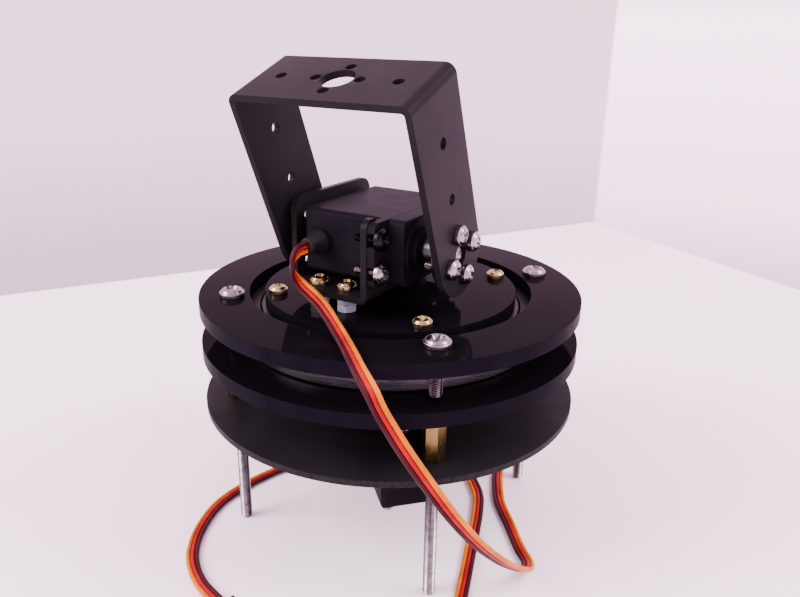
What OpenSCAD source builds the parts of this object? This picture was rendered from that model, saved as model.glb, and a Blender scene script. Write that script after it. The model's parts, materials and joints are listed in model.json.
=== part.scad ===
// Two-axis pan and tilt mount: three round plates on four long screws, a thin
// ball bearing with a servo-driven turntable, and a tilting U bracket on top.
// Millimetres, +Z up. The origin is on the table, on the pan axis.
// X is the tilt axis direction, and the tilt servo's lead comes out towards -Y.

/* [Plates] */
// Diameter of the three fixed plates
plate_d = 125; // [120:1:140]
// Thickness of the gloss plates and of the disc
plate_t = 4.6; // [4:0.1:5]
// Thickness of the lower plate
lower_t = 2; // [1.5:0.1:3]
// Hole through the top ring and the middle ring
ring_hole_d = 93; // [92:0.5:94]
// Diameter of the rotating disc
disc_d = 83; // [82.5:0.5:84]

/* [Legs] */
// Diameter of the circle that the four leg screws stand on
leg_circle_d = 104; // [104:0.5:108]
// Length of each leg screw under its head
leg_len = 83.5; // [80:0.5:95]
// Thread diameter of the leg screws
leg_d = 3.8; // [3.5:0.1:3.9]
// Length of the brass standoffs
standoff_len = 16; // [14:0.5:20]

/* [Bearing] */
// Bore of the bearing
bearing_id = 80; // [80:0.5:81]
// Outer diameter of the bearing
bearing_od = 100; // [99:0.5:100]
// Height of the bearing
bearing_h = 10; // [9.6:0.2:12]
// Diameter of the balls
ball_d = 5.5; // [5:0.1:5.6]
// Number of balls
ball_count = 26; // [18:1:28]

/* [Servo] */
// Length of a servo's case
servo_l = 40.7; // [40:0.1:41]
// Width of a servo's case
servo_w = 19.8; // [19:0.1:20]
// From a servo's bottom to the top of its case
servo_h = 35; // [34.5:0.1:35.5]
// From a servo's bottom to the outer face of the horn on its shaft
horn_face = 46.2; // [46:0.1:46.6]

/* [Tilt] */
// Height of the tilt axis above the table
tilt_z = 103; // [102.5:0.5:106]
// Place of the tilt axis along Y
tilt_y = -15.3; // [-16:0.1:-14]
// Lean of the U bracket at rest
lean = 22.5; // [0:0.5:60]
// Width of the U bracket over its legs
u_w = 57; // [57:0.5:60]
// Depth of the U bracket
u_depth = 25; // [24:0.5:26]
// From the tilt axis to the top face of the U bracket
u_h = 52.5; // [50:0.5:60]

/* [Hidden] */
$fn = 96;

eps = 0.01;

// Heights of the plate stack, from the table up
ring_top = leg_len;
ring_bottom = ring_top - plate_t;
middle_top = ring_bottom - bearing_h;
middle_bottom = middle_top - plate_t;
lower_top = middle_bottom - standoff_len;
lower_bottom = lower_top - lower_t;

// Metric hardware
m3_d = 2.9;
m3_hole = 3.2;
m3_tapped = 3;
m3_head_d = 6;
m3_head_h = 2.8;
m3_nut_af = 5.5;
m3_nut_h = 2.4;
m4_head_d = 8;
m4_head_h = 3.1;
m4_hole = 4.2;
m4_nut_af = 7;
m4_nut_h = 3.2;
standoff_af = 6;

// Bearing
race_r_in = bearing_id / 2;
race_r_out = bearing_od / 2;
pitch_r = (race_r_in + race_r_out) / 2;
land_half = 2;
groove_r = ball_d / 2 + 0.3;
bearing_z = middle_top + bearing_h / 2;
seal_t = 0.8;
seal_recess = 0.2;
cage_h = 6;
cage_t = 1.2;

// Servo, in its own frame: shaft up along +Z at the origin, case towards +X
servo_front = 10.15;
case_seam_low = 8.5;
ear_z = 26.8;
ear_t = 2.6;
ear_reach = 6.9;
ear_hole_d = 4.4;
ear_slit = 4;
ear_r = 2.6;
ear_screw_head_d = 6.6;
ear_screw_head_h = 2.7;
ear_hole_x = 24.75;
ear_hole_y = 5;
servo_mid_x = servo_l / 2 - servo_front;
case_r = 1.8;
case_chamfer = 0.7;
wall_t = 1.5;
boss_d = 13;
boss_top = 37;
shaft_d = 5.9;
shaft_top = 42.9;
boot_z = 6;
boot_len = 7.5;
boot_d = 8.2;
boot_tip_d = 5.2;
horn_d = 20;
horn_flange_t = 2.5;
horn_hub_d = 9.5;
horn_bottom = 38.2;
horn_pcd = 14;
case_screw_head_h = 1.6;

// Pan servo hangs by its ears under the lower plate, turned to the front right leg
pan_turn = -45;
pan_servo_z = lower_bottom - ear_t - ear_z;

// Turntable
hub_bottom = middle_bottom;
spacer_t = hub_bottom - pan_servo_z - horn_face;
disc_screw_r = 37.4;
disc_screw_len = 25;

// U bracket and tilt servo
u_mid_x = 4;
u_t = 2;
u_right = u_mid_x + u_w / 2;
u_left = u_mid_x - u_w / 2;
u_bend_r = 3;
u_side_holes = [19, 36];
u_far_hole = 18.6;
u_centre_hole = 10;
horn_head_hole = 6.5;
tilt_servo_x = u_right - u_t - horn_face;

// Servo bracket
bracket_t = 2;
spacer_h = 2 * m3_nut_h;
bracket_bottom = ring_top + spacer_h;
bracket_top = bracket_bottom + bracket_t;
bracket_len = 55;
bracket_mid_y = tilt_y + servo_mid_x;
fork_x = tilt_servo_x + ear_z;
wall_x = tilt_servo_x - 2.8;
wall_w = 42;
wall_top = tilt_z + 12.6;
wall_r = 4.5;
prong_w = 6.6;
prong_top = tilt_z + 10.6;
base_side_inset = 4.7;
bracket_bend_r = 2.6;
bracket_screw_x = [-9, 1];
bracket_screw_dy = 22.5;
bracket_screw_len = 16;

// Tilt pivot opposite the horn
cup_d = 7;
cup_flange_d = 8.2;
cup_flange_t = 0.8;
sleeve_d = 4.6;
sleeve_gap = 0.05;
pivot_head_h = 1.4;
pivot_screw_len = round(wall_x - u_left + m3_nut_h + 1.6);
cup_outer_x = wall_x - bracket_t - cup_flange_t;
spacer_len = cup_outer_x - (u_left + u_t);

// Flat three-wire leads
lead_w = 4.2;
lead_t = 1.4;
plug_l = 14;
plug_w = 7.8;
plug_t = 2.6;

// Route of the tilt servo's lead: [point, direction across the flat of the lead]
tilt_route = [
    [[-9.7, -32.95, 103], [0, 0, -1]],
    [[-10.3, -35.4, 102.5], [-0.2, 0.3, -1]],
    [[-11, -37.3, 100.5], [-0.4, 0.7, -0.7]],
    [[-11, -38.2, 97.6], [-0.65, 0.75, -0.3]],
    [[-9.6, -38.5, 94.9], [-0.1, 0.95, 0]],
    [[-6.8, -38.8, 92.7], [0.5, 0.75, 0.2]],
    [[-2.8, -39.5, 90.9], [0.7, 0.6, 0.3]],
    [[1.8, -41, 88.9], [0.7, 0.7, 0.2]],
    [[7, -43.7, 86.4], [0.7, 0.9, 0]],
    [[14, -49, 84.9], [0.7, 0.8, 0]],
    [[20.9, -55.4, 84.7], [0.7, 0.7, 0]],
    [[26.6, -60.3, 83.6], [0.8, 0.7, 0]],
    [[31.6, -62.4, 79.6], [0.9, 0.5, 0]],
    [[35, -62.4, 74], [0.9, 0.4, 0]],
    [[41, -61.4, 65], [0.9, 0.5, 0]],
    [[47, -58.6, 55], [0.9, 0.5, 0]],
    [[52, -53.6, 44], [0.9, 0.5, 0]],
    [[55.8, -45, 31.5], [0.9, 0.5, 0]],
    [[58.6, -33.6, 19], [0.9, 0.5, 0]],
    [[60.2, -23, 9.5], [0.9, 0.5, 0]],
    [[60.4, -15.4, 4], [0.9, 0.5, 0]],
    [[58.8, -9.6, 1.6], [0.9, 0.5, 0]],
    [[53.8, -3.9, 1], [0.8, 0.6, 0]],
    [[46.6, 5.4, 1], [0.8, 0.6, 0]],
    [[38, 16.4, 1], [0.8, 0.6, 0]],
    [[32.6, 27, 1], [0.8, 0.5, 0]],
    [[30.2, 33, 1], [1, 0.2, 0]],
    [[28, 37, 1], [0.8, 0.8, 0]],
    [[24, 38.6, 1], [0, 1, 0]],
    [[20, 36.8, 1], [-0.8, 0.7, 0]],
    [[18.6, 32.6, 1], [-1, 0, 0]],
    [[20, 28, 1], [-1, -0.5, 0]],
    [[28.6, 17.4, 1], [-0.9, -0.5, 0]],
    [[33.2, 7.3, 1], [-1, -0.4, 0]],
    [[37.4, -5.2, 1], [-1, -0.4, 0]],
    [[41.9, -19.1, 1], [-1, -0.4, 0]],
    [[45.9, -31.7, 1], [-1, -0.4, 0]],
    [[49.4, -43.2, 1], [-1, -0.4, 0]]
];

// Route of the pan servo's lead
pan_route = [
    [[-12.48, 12.48, 22.9], [0.7, 0.7, 0]],
    [[-16.2, 16.8, 21.9], [0.7, 0.7, 0]],
    [[-19.4, 21.6, 18.8], [0.9, 0.4, 0]],
    [[-20.8, 28.4, 13.4], [1, 0, 0]],
    [[-18.6, 36, 8], [0.9, -0.4, 0]],
    [[-12, 43.4, 3.8], [0.7, -0.7, 0]],
    [[-3, 48.6, 1.4], [0.4, -0.9, 0]],
    [[6, 52.4, 1], [0.3, -1, 0]],
    [[13.4, 54.2, 1], [0.1, -1, 0]],
    [[20, 54.4, 1], [-0.2, -1, 0]],
    [[24, 52.6, 1], [-0.7, -0.7, 0]],
    [[25.6, 48.8, 1], [-1, 0, 0]],
    [[24, 45, 1], [-0.7, 0.7, 0]],
    [[20, 43.4, 1], [0, 1, 0]],
    [[9, 43.4, 1], [0, 1, 0]],
    [[-2, 43.2, 1], [0, 1, 0]],
    [[-6.1, 41.5, 1], [-0.7, 0.7, 0]],
    [[-7.8, 37.4, 1], [-1, 0, 0]],
    [[-6.1, 33.3, 1], [-0.7, -0.7, 0]],
    [[-2, 31.6, 1], [0, -1, 0]],
    [[5, 31.6, 1], [0, -1, 0]],
    [[9.1, 29.9, 1], [0.7, -0.7, 0]],
    [[10.8, 25.8, 1], [1, 0, 0]],
    [[9.1, 21.7, 1], [0.7, 0.7, 0]],
    [[5, 20, 1], [0, 1, 0]],
    [[-8, 20.6, 1], [0, 1, 0]],
    [[-20, 20.6, 1], [-0.2, 1, 0]],
    [[-30.6, 16, 1], [-0.6, 0.8, 0]],
    [[-38.6, 5, 1], [-0.9, 0.5, 0]],
    [[-45, -10.6, 1], [-1, 0.2, 0]],
    [[-48.4, -24, 1], [-1, 0.2, 0]],
    [[-49, -38, 1], [-1, 0, 0]],
    [[-44.4, -52, 1], [-0.9, -0.4, 0]],
    [[-36.4, -63.6, 1], [-0.8, -0.6, 0]],
    [[-25.4, -71, 1], [-0.5, -0.9, 0]],
    [[-13, -74.6, 1], [-0.3, -1, 0]]
];

module black_gloss() {
    color([0.05, 0.045, 0.06]) children();
}

module black_matte() {
    color([0.1, 0.1, 0.11]) children();
}

module steel() {
    color([0.75, 0.74, 0.72]) children();
}

module yellow_zinc() {
    color([0.8, 0.72, 0.5]) children();
}

// Children repeated at four places, 90 degrees apart, starting at the front right
module at_four_corners(r) {
    for (k = [0:3])
        rotate([0, 0, 45 + 90 * k])
            translate([r, 0, 0])
                children();
}

module rounded_rect(size, r) {
    translate([r, 0])
        square([size.x - 2 * r, size.y]);
    translate([0, r])
        square([size.x, size.y - 2 * r]);
    for (x = [r, size.x - r], y = [r, size.y - r])
        translate([x, y])
            circle(r, $fn = 48);
}

module tube(d_out, d_in, h) {
    difference() {
        cylinder(d = d_out, h = h, $fn = 180);
        translate([0, 0, -1])
            cylinder(d = d_in, h = h + 2, $fn = 180);
    }
}

module hex_nut(af, bore, h) {
    difference() {
        cylinder(d = af / cos(30), h = h, $fn = 6);
        translate([0, 0, -1])
            cylinder(d = bore, h = h + 2, $fn = 32);
    }
}

// Pan-head screw: the head stands on z = 0 and the shank goes down
module pan_screw(d, len, head_d, head_h) {
    slot_w = head_d * 0.16;
    slot_l = head_d * 0.6;
    dome_r = head_d * 0.78;
    difference() {
        union() {
            translate([0, 0, -len])
                cylinder(d = d, h = len + eps, $fn = 32);
            intersection() {
                cylinder(d = head_d, h = head_h, $fn = 48);
                translate([0, 0, head_h - dome_r])
                    sphere(dome_r, $fn = 64);
            }
        }
        for (a = [0, 90])
            rotate([0, 0, a])
                translate([-slot_l / 2, -slot_w / 2, head_h * 0.45])
                    cube([slot_l, slot_w, head_h]);
    }
}

module m3_screw(len) {
    pan_screw(m3_d, len, m3_head_d, m3_head_h);
}

module m3_nut() {
    hex_nut(m3_nut_af, m3_tapped, m3_nut_h);
}

// ---- Fixed plates and legs ----

module leg_holes(z) {
    at_four_corners(leg_circle_d / 2)
        translate([0, 0, z - 1])
            cylinder(d = m4_hole, h = plate_t + 2, $fn = 48);
}

module top_ring() {
    black_gloss()
        difference() {
            translate([0, 0, ring_bottom])
                tube(plate_d, ring_hole_d, plate_t);
            leg_holes(ring_bottom);
        }
}

module middle_ring() {
    black_gloss()
        difference() {
            translate([0, 0, middle_bottom])
                tube(plate_d, ring_hole_d, plate_t);
            leg_holes(middle_bottom);
        }
}

module lower_plate() {
    cut_l = servo_l + 0.6;
    cut_w = servo_w + 0.6;
    black_matte()
        difference() {
            translate([0, 0, lower_bottom])
                cylinder(d = plate_d, h = lower_t, $fn = 180);
            leg_holes(lower_bottom);
            translate([0, 0, lower_bottom - 1])
                rotate([0, 0, pan_turn]) {
                    translate([servo_mid_x - cut_l / 2, -cut_w / 2, 0])
                        cube([cut_l, cut_w, lower_t + 2]);
                    at_ear_holes()
                        cylinder(d = m3_hole, h = lower_t + 2, $fn = 32);
                }
        }
}

module leg_screws() {
    steel()
        at_four_corners(leg_circle_d / 2)
            translate([0, 0, ring_top])
                pan_screw(leg_d, leg_len, m4_head_d, m4_head_h);
}

module leg_standoffs() {
    color([0.72, 0.56, 0.27])
        at_four_corners(leg_circle_d / 2)
            translate([0, 0, lower_top])
                hex_nut(standoff_af, leg_d + 0.1, standoff_len);
}

module leg_nuts() {
    steel()
        at_four_corners(leg_circle_d / 2)
            translate([0, 0, lower_bottom - m4_nut_h])
                hex_nut(m4_nut_af, leg_d + 0.1, m4_nut_h);
}

// ---- Bearing ----

module race(r_in, r_out) {
    rotate_extrude($fn = 180)
        difference() {
            translate([r_in, middle_top])
                square([r_out - r_in, bearing_h]);
            translate([pitch_r, bearing_z])
                circle(groove_r, $fn = 48);
        }
}

module bearing_outer_race() {
    steel()
        race(pitch_r + land_half, race_r_out);
}

module bearing_inner_race() {
    steel()
        race(race_r_in, pitch_r - land_half);
}

module bearing_seals() {
    seal_out = pitch_r + land_half;
    seal_in = pitch_r - land_half + 0.35;
    color([0.07, 0.07, 0.07])
        for (z = [middle_top + seal_recess, ring_bottom - seal_recess - seal_t])
            translate([0, 0, z])
                tube(2 * seal_out, 2 * seal_in, seal_t);
}

module each_ball() {
    for (k = [0:ball_count - 1])
        rotate([0, 0, k * 360 / ball_count])
            translate([pitch_r, 0, bearing_z])
                children();
}

module bearing_cage() {
    color([0.7, 0.6, 0.35])
        difference() {
            translate([0, 0, bearing_z - cage_h / 2])
                tube(2 * pitch_r + cage_t, 2 * pitch_r - cage_t, cage_h);
            each_ball()
                rotate([0, 90, 0])
                    translate([0, 0, -3])
                        cylinder(d = ball_d + 0.1, h = 6, $fn = 32);
        }
}

module bearing_balls() {
    steel()
        each_ball()
            sphere(d = ball_d, $fn = 32);
}

// ---- Servo, drawn once and placed twice ----

module at_ear_holes() {
    for (x = [-1, 1], y = [-1, 1])
        translate([servo_mid_x + x * ear_hole_x, y * ear_hole_y, 0])
            children();
}

module servo_block(z0, z1, inset, r) {
    translate([inset - servo_front, inset - servo_w / 2, z0])
        linear_extrude(z1 - z0)
            rounded_rect([servo_l - 2 * inset, servo_w - 2 * inset], r);
}

module servo_screw_places() {
    inset = 2.6;
    for (x = [inset - servo_front, servo_l - servo_front - inset], y = [-1, 1])
        translate([x, y * (servo_w / 2 - inset), 0])
            children();
}

module servo_case() {
    deck = 2.2;
    case_top = ear_z + ear_t;
    black_matte()
        difference() {
            union() {
                servo_block(case_seam_low, case_top, 0, case_r);
                translate([-servo_front - ear_reach, -servo_w / 2, ear_z])
                    linear_extrude(ear_t)
                        rounded_rect([servo_l + 2 * ear_reach, servo_w], ear_r);
            }
            servo_block(case_seam_low - 1, case_top - deck, wall_t, case_r);
            translate([0, 0, case_top - deck - 1])
                cylinder(d = 11, h = deck + 2, $fn = 48);
            translate([0, 0, ear_z - 1])
                at_ear_holes()
                    cylinder(d = ear_hole_d, h = ear_t + 2, $fn = 32);
            for (side = [-1, 1], y = [-ear_hole_y, ear_hole_y])
                translate([servo_mid_x + side * (ear_hole_x + 2), y, ear_z + ear_t / 2])
                    cube([4, ear_slit, ear_t + 2], center = true);
            translate([0, 0, case_seam_low - 1])
                servo_screw_places()
                    cylinder(d = 2.2, h = case_top, $fn = 24);
        }
}

module servo_base_cap() {
    bevel_w = case_chamfer * sqrt(2);
    black_matte()
        difference() {
            servo_block(0, case_seam_low, 0, case_r);
            servo_block(wall_t, case_seam_low + 1, wall_t, case_r);
            for (side = [-1, 1]) {
                translate([servo_mid_x, side * servo_w / 2, 0])
                    rotate([45, 0, 0])
                        cube([servo_l + 2, bevel_w, bevel_w], center = true);
                translate([servo_mid_x + side * servo_l / 2, 0, 0])
                    rotate([0, 45, 0])
                        cube([bevel_w, servo_w + 2, bevel_w], center = true);
            }
            translate([-servo_front - 1, -3, boot_z - 1.6])
                cube([wall_t + 2, 6, 3.2]);
            translate([0, 0, -1])
                servo_screw_places()
                    cylinder(d = 2.2, h = case_seam_low + 2, $fn = 24);
        }
}

module servo_top_cap() {
    seam = ear_z + ear_t;
    roof = 1.6;
    black_matte()
        difference() {
            union() {
                servo_block(seam, servo_h, 0, case_r);
                translate([0, 0, servo_h - eps])
                    cylinder(d = boss_d, h = boss_top - servo_h, $fn = 64);
                translate([0, 0, servo_h - eps])
                    cylinder(d = servo_w - 1, h = 0.8, $fn = 64);
            }
            servo_block(seam - 1, servo_h - roof, wall_t, case_r);
            translate([0, 0, seam - 1])
                cylinder(d = shaft_d + 0.5, h = boss_top, $fn = 48);
            translate([0, 0, seam - 1])
                servo_screw_places()
                    cylinder(d = 2.2, h = 5, $fn = 24);
        }
}

module servo_case_screws() {
    steel()
        servo_screw_places()
            mirror([0, 0, 1])
                pan_screw(2, 32, 4.2, case_screw_head_h);
}

// Rubber boot of the lead: a collar on the case that narrows to the lead
module servo_boot() {
    collar = 2;
    black_matte()
        translate([-servo_front, 0, boot_z])
            rotate([0, -90, 0])
                difference() {
                    union() {
                        cylinder(d = boot_d, h = collar, $fn = 48);
                        translate([0, 0, collar - eps])
                            cylinder(d1 = boot_d, d2 = boot_tip_d, h = boot_len - collar + eps, $fn = 48);
                        translate([-1.5, -2.8, -wall_t])
                            cube([3, 5.6, wall_t + 1]);
                    }
                    translate([-lead_t / 2, -lead_w / 2, -wall_t - 1])
                        cube([lead_t, lead_w, wall_t + 1 + boot_len - 1]);
                }
}

module servo_motor() {
    motor_x = 20;
    color([0.62, 0.62, 0.64])
        translate([motor_x, 0, 5.6]) {
            cylinder(d = 15.4, h = 20.6, $fn = 64);
            translate([0, 0, -1.4])
                cylinder(d = 5, h = 1.5, $fn = 32);
        }
}

module servo_board() {
    color([0.1, 0.35, 0.2])
        translate([-servo_front + 2.2, -6, 2])
            cube([32, 12, 1.2]);
}

// Output shaft with its last gear
module servo_shaft() {
    gear_d = 15;
    gear_t = 1.9;
    gear_z = ear_z + ear_t + 0.6;
    color([0.72, 0.66, 0.45])
        difference() {
            union() {
                translate([0, 0, 24])
                    cylinder(d = shaft_d, h = shaft_top - 24, $fn = 64);
                translate([0, 0, gear_z])
                    cylinder(d = gear_d, h = gear_t, $fn = 64);
            }
            translate([0, 0, shaft_top - 6.5])
                cylinder(d = m3_tapped, h = 7, $fn = 32);
        }
}

// Disc horn on a servo's shaft
module servo_horn() {
    flange_z = horn_face - horn_flange_t;
    color([0.78, 0.78, 0.8])
        difference() {
            union() {
                translate([0, 0, horn_bottom])
                    cylinder(d = horn_hub_d, h = horn_face - horn_bottom, $fn = 64);
                translate([0, 0, flange_z])
                    cylinder(d = horn_d, h = horn_flange_t, $fn = 96);
            }
            translate([0, 0, horn_bottom - 1])
                cylinder(d = shaft_d + 0.1, h = shaft_top - horn_bottom + 1.1, $fn = 64);
            cylinder(d = m3_hole, h = horn_face + 1, $fn = 32);
            at_horn_screws(flange_z - 1)
                cylinder(d = m3_tapped, h = horn_flange_t + 2, $fn = 32);
        }
}

module at_horn_screws(z) {
    for (a = [0:90:270])
        rotate([0, 0, a])
            translate([horn_pcd / 2, 0, z])
                children();
}

module place_pan_servo() {
    translate([0, 0, pan_servo_z])
        rotate([0, 0, pan_turn])
            children();
}

module place_tilt_servo() {
    translate([tilt_servo_x, tilt_y, tilt_z])
        rotate([90, 0, 90])
            children();
}

// What turns with the tilt servo's shaft also leans with the U bracket
module place_tilt_frame() {
    translate([0, tilt_y, tilt_z])
        rotate([lean, 0, 0])
            children();
}

module place_tilt_horn() {
    place_tilt_frame()
        translate([tilt_servo_x, 0, 0])
            rotate([90, 0, 90])
                children();
}

// ---- Pan drive ----

module pan_mount_screws() {
    steel()
        place_pan_servo()
            translate([0, 0, ear_z + ear_t + lower_t])
                at_ear_holes()
                    m3_screw(10);
}

module pan_mount_nuts() {
    steel()
        place_pan_servo()
            translate([0, 0, ear_z - m3_nut_h])
                at_ear_holes()
                    m3_nut();
}

module turntable_disc() {
    black_gloss()
        difference() {
            translate([0, 0, ring_bottom])
                cylinder(d = disc_d, h = plate_t, $fn = 180);
            at_four_corners(disc_screw_r)
                translate([0, 0, ring_bottom - 1])
                    cylinder(d = m3_hole, h = plate_t + 2, $fn = 32);
            at_bracket_screws(ring_bottom - 1)
                cylinder(d = m3_hole, h = plate_t + 2, $fn = 32);
        }
}

module pan_horn_holes(z) {
    translate([0, 0, z])
        cylinder(d = 7, h = plate_t + 2, $fn = 48);
    rotate([0, 0, pan_turn])
        at_horn_screws(z)
            cylinder(d = m3_hole, h = plate_t + 2, $fn = 32);
}

module hub_plate() {
    black_gloss()
        difference() {
            translate([0, 0, hub_bottom])
                cylinder(d = disc_d, h = plate_t, $fn = 180);
            at_four_corners(disc_screw_r)
                translate([0, 0, hub_bottom - 1])
                    cylinder(d = m3_hole, h = plate_t + 2, $fn = 32);
            pan_horn_holes(hub_bottom - 1);
        }
}

module horn_spacer() {
    black_gloss()
        difference() {
            translate([0, 0, hub_bottom - spacer_t])
                cylinder(d = horn_d, h = spacer_t, $fn = 64);
            pan_horn_holes(hub_bottom - spacer_t - 1);
        }
}

module disc_screws() {
    yellow_zinc()
        at_four_corners(disc_screw_r)
            translate([0, 0, ring_top])
                m3_screw(disc_screw_len);
}

module disc_nuts() {
    steel()
        at_four_corners(disc_screw_r)
            translate([0, 0, hub_bottom - m3_nut_h])
                m3_nut();
}

module pan_horn_screws() {
    steel()
        place_pan_servo()
            at_horn_screws(horn_face + spacer_t + plate_t)
                m3_screw(10);
}

module pan_horn_centre_screw() {
    steel()
        place_pan_servo()
            translate([0, 0, horn_face])
                m3_screw(8);
}

// ---- Servo bracket ----

module at_bracket_screws(z) {
    for (x = bracket_screw_x, side = [-1, 1])
        translate([x, bracket_mid_y + side * bracket_screw_dy, z])
            children();
}

module channel_outline(w, h, r) {
    translate([r, 0])
        square([w - 2 * r, r]);
    translate([0, r])
        square([w, h - r]);
    for (x = [r, w - r])
        translate([x, r])
            circle(r, $fn = 64);
}

// A sheet bent into a channel: floor on z = 0, walls at both ends of X
module bent_channel(w, h, t, r, depth) {
    rotate([90, 0, 0])
        linear_extrude(depth, center = true)
            difference() {
                channel_outline(w, h, r);
                translate([t, t])
                    channel_outline(w - 2 * t, h, r - t);
            }
}

module bracket_plan() {
    back_x = wall_x - bracket_t;
    translate([back_x, bracket_mid_y - wall_w / 2])
        square([fork_x - back_x, wall_w]);
    translate([back_x + base_side_inset, bracket_mid_y - bracket_len / 2])
        difference() {
            rounded_rect([fork_x - back_x, bracket_len], 5);
            translate([fork_x - back_x - base_side_inset, -1])
                square([20, bracket_len + 2]);
        }
}

module bracket_fork_outline() {
    for (side = [0, 1])
        mirror([side, 0, 0])
            translate([bracket_len / 2 - prong_w, 0]) {
                square([prong_w, prong_top - bracket_bottom - prong_w / 2]);
                translate([prong_w / 2, prong_top - bracket_bottom - prong_w / 2])
                    circle(prong_w / 2, $fn = 48);
            }
    translate([-bracket_len / 2, 0])
        square([bracket_len, bracket_bend_r]);
}

module bracket_wall_outline() {
    wall_h = wall_top - bracket_bottom;
    translate([-wall_w / 2, -wall_r])
        rounded_rect([wall_w, wall_h + wall_r], wall_r);
    translate([-bracket_len / 2, 0])
        square([bracket_len, bracket_bend_r]);
}

module servo_bracket() {
    back_x = wall_x - bracket_t;
    split_x = (back_x + fork_x) / 2;
    black_matte()
        difference() {
            intersection() {
                translate([back_x, bracket_mid_y, bracket_bottom])
                    bent_channel(fork_x - back_x, wall_top - bracket_bottom, bracket_t,
                                 bracket_bend_r, bracket_len);
                translate([0, 0, bracket_bottom - 1])
                    linear_extrude(40)
                        bracket_plan();
                union() {
                    translate([split_x, bracket_mid_y, bracket_bottom])
                        rotate([90, 0, 90])
                            linear_extrude(30)
                                bracket_fork_outline();
                    translate([back_x - 1, bracket_mid_y, bracket_bottom])
                        rotate([90, 0, 90])
                            linear_extrude(split_x - back_x + 1)
                                bracket_wall_outline();
                }
            }
            at_bracket_screws(bracket_bottom - 1)
                cylinder(d = m3_hole, h = bracket_t + 2, $fn = 32);
            place_tilt_servo()
                translate([0, 0, ear_z - bracket_t - 1])
                    at_ear_holes()
                        cylinder(d = m3_tapped, h = bracket_t + 2, $fn = 32);
            translate([back_x - 1, tilt_y, tilt_z])
                rotate([0, 90, 0])
                    cylinder(d = cup_d, h = bracket_t + 2, $fn = 48);
        }
}

module bracket_screws() {
    yellow_zinc()
        at_bracket_screws(bracket_top)
            m3_screw(bracket_screw_len);
}

module bracket_spacer_nuts() {
    steel()
        at_bracket_screws(ring_top)
            for (k = [0, 1])
                translate([0, 0, k * m3_nut_h])
                    m3_nut();
}

module bracket_nuts() {
    steel()
        at_bracket_screws(ring_bottom - m3_nut_h)
            m3_nut();
}

module ear_screws() {
    steel()
        place_tilt_servo()
            translate([0, 0, ear_z + ear_t])
                at_ear_holes()
                    pan_screw(m3_d, 8, ear_screw_head_d, ear_screw_head_h);
}

// ---- Tilt pivot ----

module pivot_cup() {
    steel()
        translate([cup_outer_x, tilt_y, tilt_z])
            rotate([0, 90, 0])
                difference() {
                    union() {
                        cylinder(d = cup_flange_d, h = cup_flange_t, $fn = 64);
                        cylinder(d = cup_d, h = cup_flange_t + bracket_t, $fn = 64);
                    }
                    translate([0, 0, -1])
                        cylinder(d = sleeve_d + 2 * sleeve_gap, h = 6, $fn = 64);
                }
}

module pivot_sleeve() {
    steel()
        place_tilt_frame()
            translate([cup_outer_x, 0, 0])
                rotate([0, 90, 0])
                    tube(sleeve_d, m3_tapped, cup_flange_t + bracket_t);
}

module pivot_spacer() {
    steel()
        place_tilt_frame()
            translate([u_left + u_t, 0, 0])
                rotate([0, 90, 0])
                    tube(sleeve_d, m3_tapped, spacer_len);
}

module pivot_screw() {
    steel()
        place_tilt_frame()
            translate([wall_x, 0, 0])
                rotate([0, 90, 0])
                    pan_screw(m3_d, pivot_screw_len, 5.4, pivot_head_h);
}

module pivot_nut() {
    steel()
        place_tilt_frame()
            translate([u_left - m3_nut_h, 0, 0])
                rotate([0, 90, 0])
                    m3_nut();
}

// ---- U bracket ----

module u_bracket() {
    end_r = u_depth / 2;
    black_matte()
        place_tilt_frame()
            difference() {
                intersection() {
                    translate([u_left, 0, u_h])
                        mirror([0, 0, 1])
                            bent_channel(u_w, u_h + end_r, u_t, u_bend_r, u_depth);
                    union() {
                        translate([u_left, -end_r, 0])
                            cube([u_w, u_depth, u_h]);
                        translate([u_left, 0, 0])
                            rotate([0, 90, 0])
                                cylinder(r = end_r, h = u_w, $fn = 96);
                    }
                }
                translate([u_mid_x, 0, u_h - u_t - 1]) {
                    cylinder(d = u_centre_hole, h = u_t + 2, $fn = 64);
                    at_horn_screws(0)
                        cylinder(d = m3_hole, h = u_t + 2, $fn = 32);
                    for (x = [-u_far_hole, u_far_hole])
                        translate([x, 0, 0])
                            cylinder(d = m3_hole, h = u_t + 2, $fn = 32);
                }
                for (z = u_side_holes)
                    translate([u_left - 1, 0, z])
                        rotate([0, 90, 0])
                            cylinder(d = m3_hole, h = u_w + 2, $fn = 32);
                translate([u_left - 1, 0, 0])
                    rotate([0, 90, 0])
                        cylinder(d = m3_hole, h = u_t + 2, $fn = 32);
                translate([u_right - u_t - 1, 0, 0])
                    rotate([90, 0, 90]) {
                        cylinder(d = horn_head_hole, h = u_t + 2, $fn = 48);
                        at_horn_screws(0)
                            cylinder(d = m3_hole, h = u_t + 2, $fn = 32);
                    }
            }
}

module tilt_horn_screws() {
    steel()
        place_tilt_horn()
            at_horn_screws(horn_face + u_t)
                m3_screw(8);
}

module tilt_horn_centre_screw() {
    steel()
        place_tilt_horn()
            translate([0, 0, horn_face])
                pan_screw(m3_d, 8, m3_head_d, 1.8);
}

// ---- Leads: flat three-wire cords swept along their routes ----

function unit(v) = v / norm(v);

// Smooth curve through four points
function blend4(a, b, c, d, u) =
    0.5 * (2 * b + (c - a) * u + (2 * a - 5 * b + 4 * c - d) * u * u
           + (3 * b - a - 3 * c + d) * u * u * u);

function at_step(route, k) = route[max(0, min(len(route) - 1, k))];

// Every point of a route, with extra points in between
function fine(route, part, steps) =
    [for (k = [0:len(route) - 2], s = [0:steps - 1])
         blend4(at_step(route, k - 1)[part], at_step(route, k)[part],
                at_step(route, k + 1)[part], at_step(route, k + 2)[part], s / steps),
     route[len(route) - 1][part]];

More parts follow.
